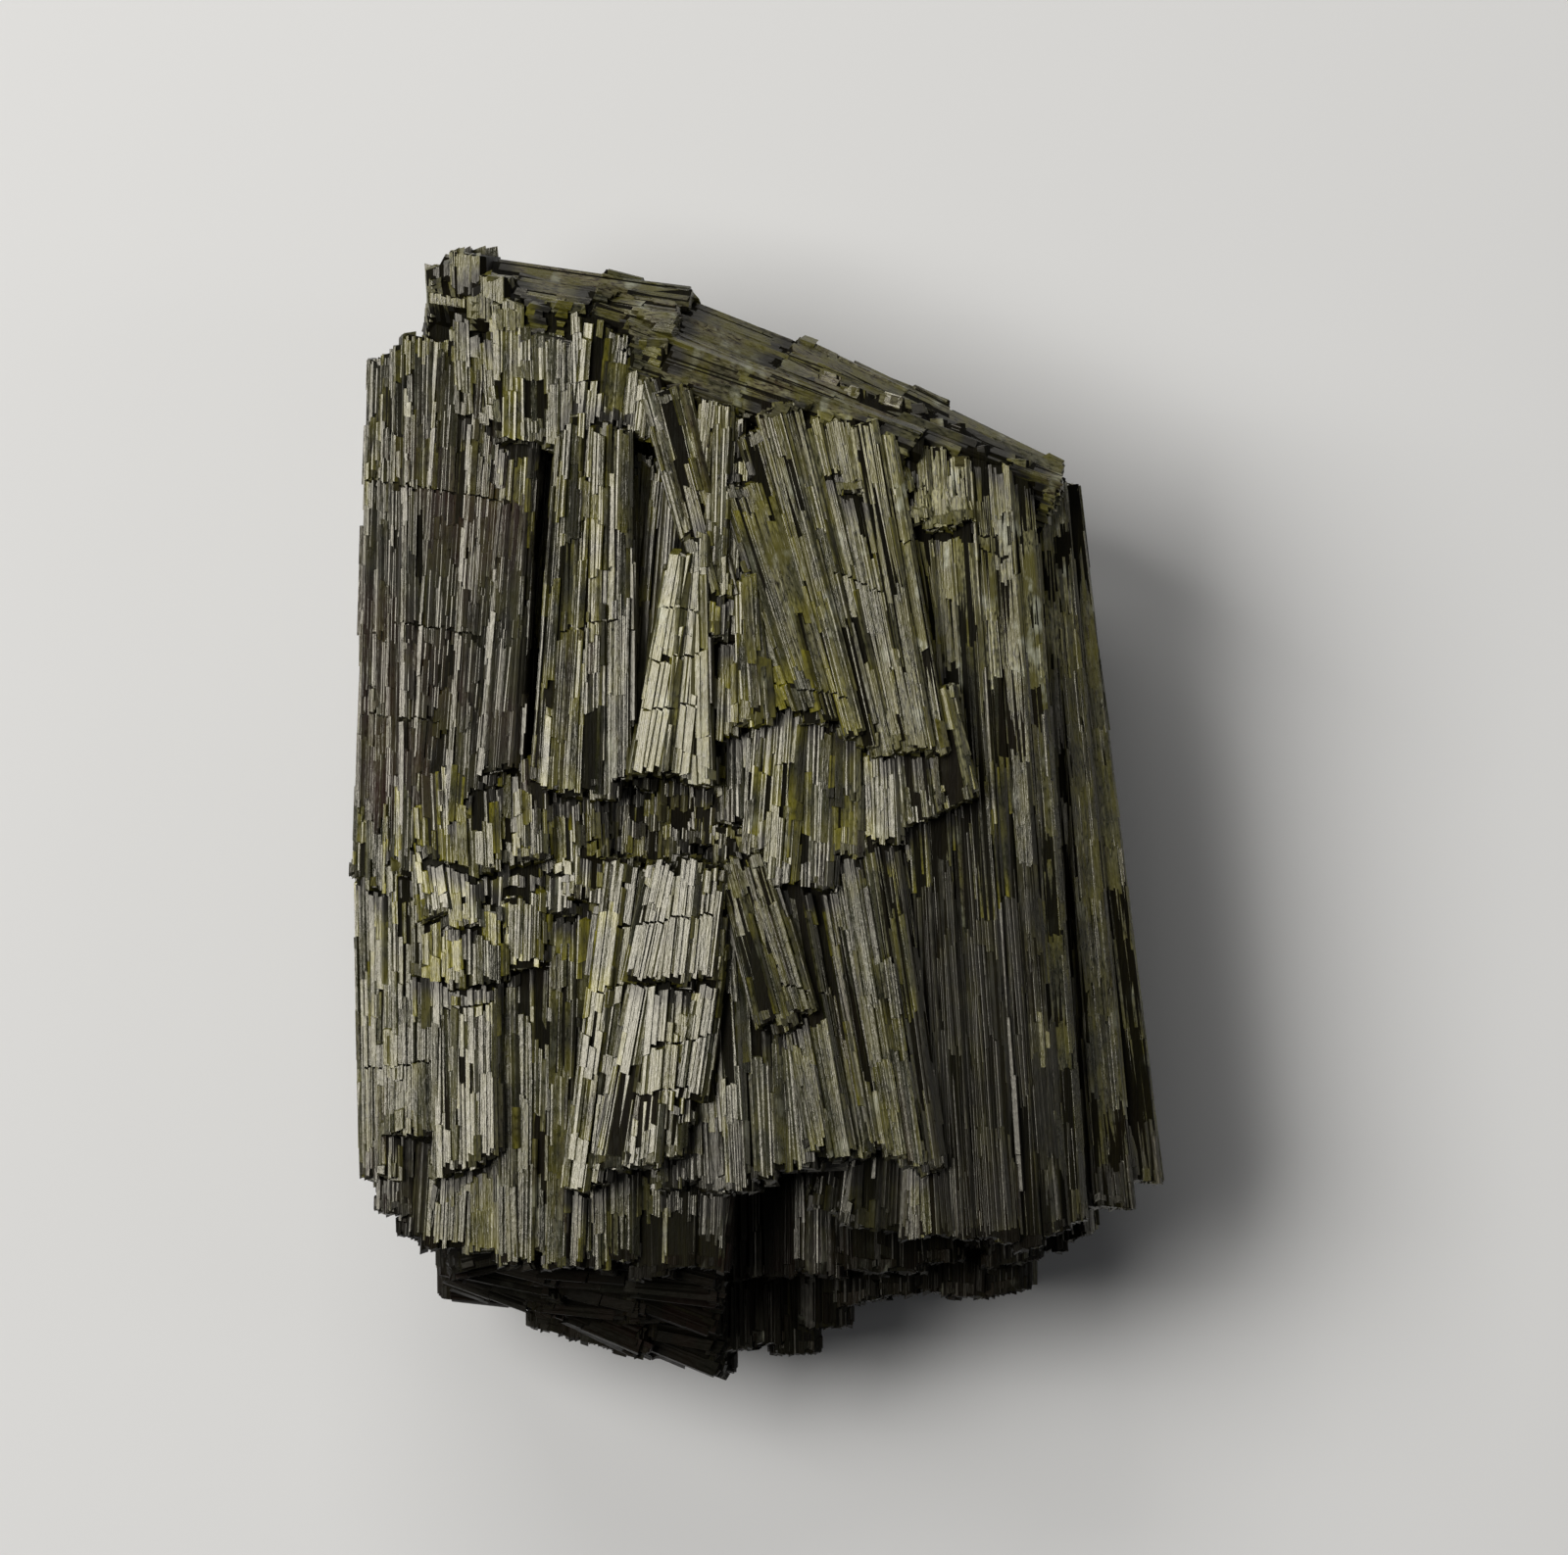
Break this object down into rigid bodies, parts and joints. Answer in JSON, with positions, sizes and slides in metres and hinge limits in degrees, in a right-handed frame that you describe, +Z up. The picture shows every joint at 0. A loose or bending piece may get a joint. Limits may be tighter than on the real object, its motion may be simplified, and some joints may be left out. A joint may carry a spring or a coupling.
{
  "type": "epidote crystal cluster",
  "caption": "Block of long flat striated crystals grown side by side, broken across in ledges, lying on its back.",
  "frame": {"origin": "middle of the bounding box of the cluster, on the ground that it lies on", "axes": "+Z up, out of the striated front, +Y along the crystals towards the end with the sloping facets, +X to the right seen from the front"},
  "size_m": [0.0418, 0.0584, 0.0219],
  "materials": {
    "epidote": "glassy dark olive green, finely striated, yellow-green at thin edges"
  },
  "bodies": {
    "root": {"epidote_cluster": "epidote"}
  },
  "joints": []
}
